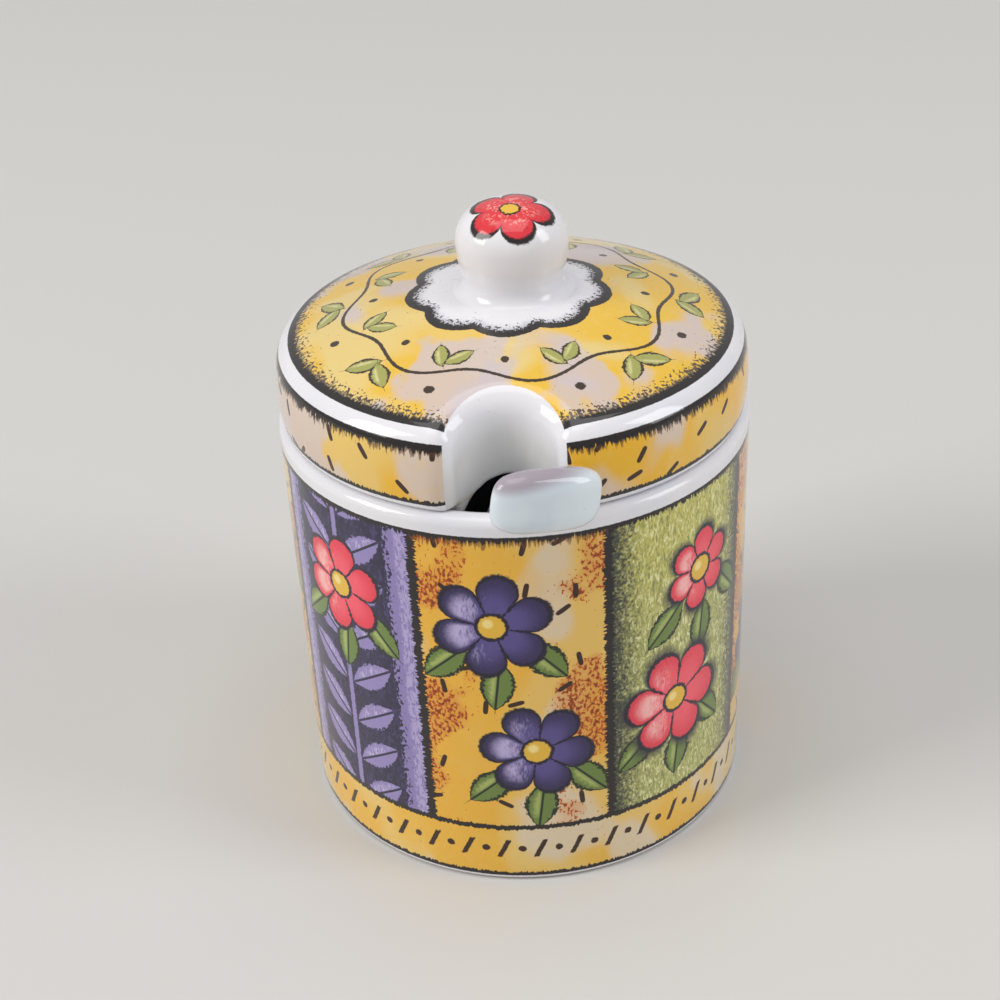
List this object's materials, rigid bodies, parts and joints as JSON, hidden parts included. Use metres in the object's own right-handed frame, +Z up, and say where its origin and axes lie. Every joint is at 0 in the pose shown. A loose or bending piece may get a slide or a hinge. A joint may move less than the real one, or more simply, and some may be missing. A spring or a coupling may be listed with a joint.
{
  "type": "jam pot",
  "caption": "Glazed ceramic jam pot with a domed, notched lid that lifts off and a serving spoon standing in the notch.",
  "frame": {"origin": "centre of the foot ring, on the surface that the pot stands on", "axes": "+Z up along the pot's axis; -Y towards the notch in the lid and the handle of the spoon, the side that faces the user; +X to the user's right"},
  "size_m": [0.09, 0.1, 0.1229],
  "materials": {
    "pot_glaze": "gloss",
    "lid_glaze": "gloss",
    "knob_glaze": "gloss",
    "spoon_glaze": "gloss"
  },
  "bodies": {
    "pot": {"pot": "pot_glaze"},
    "lid": {"lid": "lid_glaze", "knob": "knob_glaze"},
    "spoon": {"spoon": "spoon_glaze"}
  },
  "joints": [
    {"name": "lid_lift", "type": "slide", "parent": "pot", "child": "lid", "axis": [0, 0, 1], "range_m": [0, 0.09]},
    {"name": "spoon_draw", "type": "slide", "parent": "pot", "child": "spoon", "axis": [0.2567, -0.5262, 0.8107], "range_m": [0, 0.055]}
  ]
}
